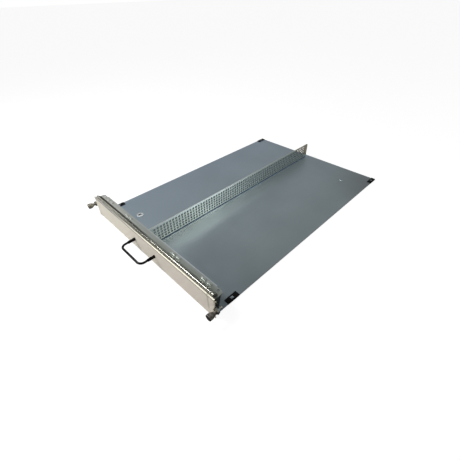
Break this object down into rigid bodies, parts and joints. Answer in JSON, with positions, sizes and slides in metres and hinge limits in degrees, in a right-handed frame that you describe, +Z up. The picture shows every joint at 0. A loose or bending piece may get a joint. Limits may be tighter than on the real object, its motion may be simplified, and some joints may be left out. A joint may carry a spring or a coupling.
{
  "type": "line card slot filler",
  "caption": "Sheet-metal blank for an empty card slot: long tray with a face panel, pull handle, perforated airflow divider, shielding fingers and captive thumbscrews.",
  "frame": {"origin": "midway between the two captive screws, on the plane where the ears seat on the chassis, at half the panel's height", "axes": "+X along the panel to the right seen from the front, +Y into the slot, +Z up"},
  "size_m": [0.389, 0.574, 0.0466],
  "materials": {
    "zinc_sheet": "satin zinc plate",
    "divider_sheet": "satin zinc plate",
    "cream_paint": "matt powder coat",
    "finger_metal": "bright",
    "handle_black": "semi-gloss black",
    "fastener_metal": "plated",
    "screw_metal": "satin",
    "glide_plastic": "matt black"
  },
  "bodies": {
    "carrier": {"carrier_tray": "zinc_sheet", "airflow_divider": "divider_sheet", "front_panel": "cream_paint", "top_gasket": "finger_metal", "left_gasket": "finger_metal", "right_gasket": "finger_metal", "pull_handle": "handle_black", "handle_ferrules": "handle_black", "handle_nuts": "fastener_metal", "screw_retainers": "fastener_metal", "front_left_glide": "glide_plastic", "front_right_glide": "glide_plastic", "back_left_glide": "glide_plastic", "back_right_glide": "glide_plastic"},
    "left_spring": {"left_spring": "fastener_metal"},
    "left_thumbscrew": {"left_thumbscrew": "screw_metal"},
    "right_spring": {"right_spring": "fastener_metal"},
    "right_thumbscrew": {"right_thumbscrew": "screw_metal"}
  },
  "joints": [
    {"name": "left_screw_travel", "type": "slide", "parent": "carrier", "child": "left_spring", "axis": [0, 1, 0], "range_m": [0, 0.0036], "stiffness_N_per_m": 300, "springref_m": -0.003, "deforming": ["left_spring"]},
    {"name": "left_screw_turn", "type": "hinge", "parent": "left_spring", "child": "left_thumbscrew", "pos_m": [-0.189, 0, 0], "axis": [0, 1, 0], "continuous": true},
    {"name": "right_screw_travel", "type": "slide", "parent": "carrier", "child": "right_spring", "axis": [0, 1, 0], "range_m": [0, 0.0036], "stiffness_N_per_m": 300, "springref_m": -0.003, "deforming": ["right_spring"]},
    {"name": "right_screw_turn", "type": "hinge", "parent": "right_spring", "child": "right_thumbscrew", "pos_m": [0.189, 0, 0], "axis": [0, 1, 0], "continuous": true}
  ]
}
